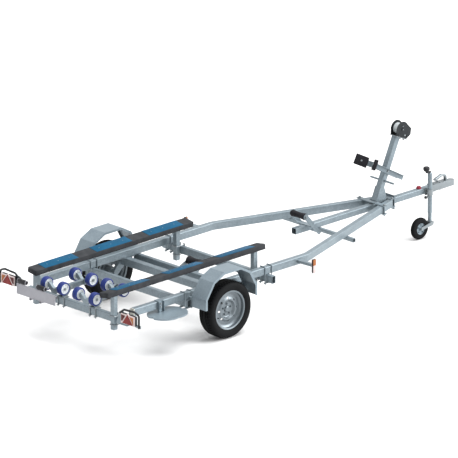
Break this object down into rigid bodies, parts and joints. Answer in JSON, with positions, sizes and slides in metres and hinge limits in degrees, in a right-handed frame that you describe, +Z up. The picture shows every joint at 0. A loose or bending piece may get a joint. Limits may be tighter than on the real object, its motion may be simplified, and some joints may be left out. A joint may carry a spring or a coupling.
{
  "type": "boat trailer",
  "caption": "Single-axle boat trailer with a V drawbar, tilting roller cradle, carpeted bunks, winch post, mudguards and jockey wheel.",
  "frame": {"origin": "on the ground under the middle of the trailer's length, on its centre line", "axes": "+X forwards to the coupling, +Y to the left-hand side, +Z up"},
  "size_m": [5.586, 2.036, 1.311],
  "materials": {
    "galvanised": "hot-dip galvanised, satin",
    "sheet": "galvanised sheet, satin",
    "rubber_tyre": "matt",
    "rim_silver": "silver paint",
    "carpet": "grey needle-felt carpet",
    "blue_strip": "smooth sliding strip",
    "blue_rubber": "satin",
    "black_rubber": "matt",
    "black_steel": "satin black",
    "strap_drum": "woven webbing",
    "lens": "moulded lens",
    "grey_plastic": "plain plate",
    "amber_lens": "moulded lens",
    "white_plastic": "moulded cap",
    "black_plastic": "moulded knob",
    "zinc": "zinc plated"
  },
  "bodies": {
    "chassis": {"main_beam_left": "galvanised", "main_beam_right": "galvanised", "keel_tube": "galvanised", "rear_cross_member": "galvanised", "cross_members": "galvanised", "axle_tube": "galvanised", "suspension_arms": "galvanised", "mudguard_left": "sheet", "mudguard_right": "sheet", "mudguard_brackets": "galvanised", "bunk_left": "carpet", "bunk_right": "carpet", "bunk_strips": "blue_strip", "bunk_posts": "galvanised", "rocker_brackets": "galvanised", "keel_roller_brackets": "galvanised", "winch_post": "galvanised", "winch_post_foot": "galvanised", "drawbar_clamp": "galvanised", "winch_frame": "black_steel", "bow_stop_rails": "galvanised", "bow_stop_yoke": "galvanised", "bow_stop_pads": "black_rubber", "post_tee_bar": "zinc", "jockey_sleeve": "zinc", "jockey_clamp": "zinc", "coupling": "zinc", "coupling_lever": "zinc", "drawbar_tip": "galvanised", "u_bolts": "galvanised", "beam_end_caps": "white_plastic", "tail_lamps": "lens", "lamp_hoops": "black_steel", "lamp_mounts": "galvanised", "number_plate_holder": "grey_plastic", "marker_lamps": "amber_lens", "marker_stalks": "galvanised", "step": "sheet"},
    "wheel_left": {"tyre_left": "rubber_tyre", "rim_left": "rim_silver", "hub_left": "rim_silver"},
    "rocker_left": {"rocker_left": "galvanised"},
    "rollers_rear_left": {"rollers_rear_left": "blue_rubber"},
    "rollers_front_left": {"rollers_front_left": "blue_rubber"},
    "wheel_right": {"tyre_right": "rubber_tyre", "rim_right": "rim_silver", "hub_right": "rim_silver"},
    "rocker_right": {"rocker_right": "galvanised"},
    "rollers_rear_right": {"rollers_rear_right": "blue_rubber"},
    "rollers_front_right": {"rollers_front_right": "blue_rubber"},
    "keel_roller_middle": {"keel_roller_middle": "black_rubber"},
    "keel_roller_front": {"keel_roller_front": "black_rubber"},
    "jockey_crank": {"jockey_crank": "black_plastic"},
    "winch_drum": {"winch_drum": "strap_drum"},
    "winch_handle": {"winch_handle": "zinc"},
    "jockey_stem": {"jockey_stem": "zinc"},
    "jockey_fork": {"jockey_fork": "zinc"},
    "jockey_wheel": {"jockey_disc": "sheet", "jockey_tyre": "rubber_tyre"}
  },
  "joints": [
    {"name": "wheel_left_spin", "type": "hinge", "parent": "chassis", "child": "wheel_left", "pos_m": [-1.303, 0.8525, 0.298], "axis": [0, 1, 0], "continuous": true},
    {"name": "rocker_left_tilt", "type": "hinge", "parent": "chassis", "child": "rocker_left", "pos_m": [-2.441, 0.23, 0.536], "axis": [0, 1, 0], "range_deg": [-18, 18]},
    {"name": "rollers_rear_left_spin", "type": "hinge", "parent": "rocker_left", "child": "rollers_rear_left", "pos_m": [-2.639, 0.23, 0.594], "axis": [0, 1, 0], "continuous": true},
    {"name": "rollers_front_left_spin", "type": "hinge", "parent": "rocker_left", "child": "rollers_front_left", "pos_m": [-2.243, 0.23, 0.594], "axis": [0, 1, 0], "continuous": true},
    {"name": "wheel_right_spin", "type": "hinge", "parent": "chassis", "child": "wheel_right", "pos_m": [-1.303, -0.8525, 0.298], "axis": [0, 1, 0], "continuous": true},
    {"name": "rocker_right_tilt", "type": "hinge", "parent": "chassis", "child": "rocker_right", "pos_m": [-2.441, -0.23, 0.536], "axis": [0, 1, 0], "range_deg": [-18, 18]},
    {"name": "rollers_rear_right_spin", "type": "hinge", "parent": "rocker_right", "child": "rollers_rear_right", "pos_m": [-2.639, -0.23, 0.594], "axis": [0, 1, 0], "continuous": true},
    {"name": "rollers_front_right_spin", "type": "hinge", "parent": "rocker_right", "child": "rollers_front_right", "pos_m": [-2.243, -0.23, 0.594], "axis": [0, 1, 0], "continuous": true},
    {"name": "keel_roller_middle_spin", "type": "hinge", "parent": "chassis", "child": "keel_roller_middle", "pos_m": [-0.903, 0, 0.49], "axis": [0, 1, 0], "continuous": true},
    {"name": "keel_roller_front_spin", "type": "hinge", "parent": "chassis", "child": "keel_roller_front", "pos_m": [0.577, 0, 0.64], "axis": [0, 1, 0], "continuous": true},
    {"name": "winch_drum_turn", "type": "hinge", "parent": "chassis", "child": "winch_drum", "pos_m": [2.01604, 0, 1.22901], "axis": [0, 1, 0], "continuous": true},
    {"name": "winch_handle_turn", "type": "hinge", "parent": "chassis", "child": "winch_handle", "pos_m": [2.04772, 0, 1.15929], "axis": [0, 1, 0], "continuous": true},
    {"name": "jockey_jack", "type": "slide", "parent": "chassis", "child": "jockey_stem", "axis": [0, 0, 1], "range_m": [-0.1, 0.06]},
    {"name": "jockey_swivel", "type": "hinge", "parent": "jockey_stem", "child": "jockey_fork", "pos_m": [2.39, -0.068, 0.16], "axis": [0, 0, 1], "continuous": true},
    {"name": "jockey_wheel_spin", "type": "hinge", "parent": "jockey_fork", "child": "jockey_wheel", "pos_m": [2.241, -0.068, 0.115], "axis": [0, 1, 0], "continuous": true},
    {"name": "jockey_crank_turn", "type": "hinge", "parent": "chassis", "child": "jockey_crank", "pos_m": [2.39, -0.068, 0.684], "axis": [0, 0, 1], "continuous": true}
  ],
  "couplings": [
    {"joint": "winch_handle_turn", "follows": "winch_drum_turn", "ratio": -4}
  ]
}
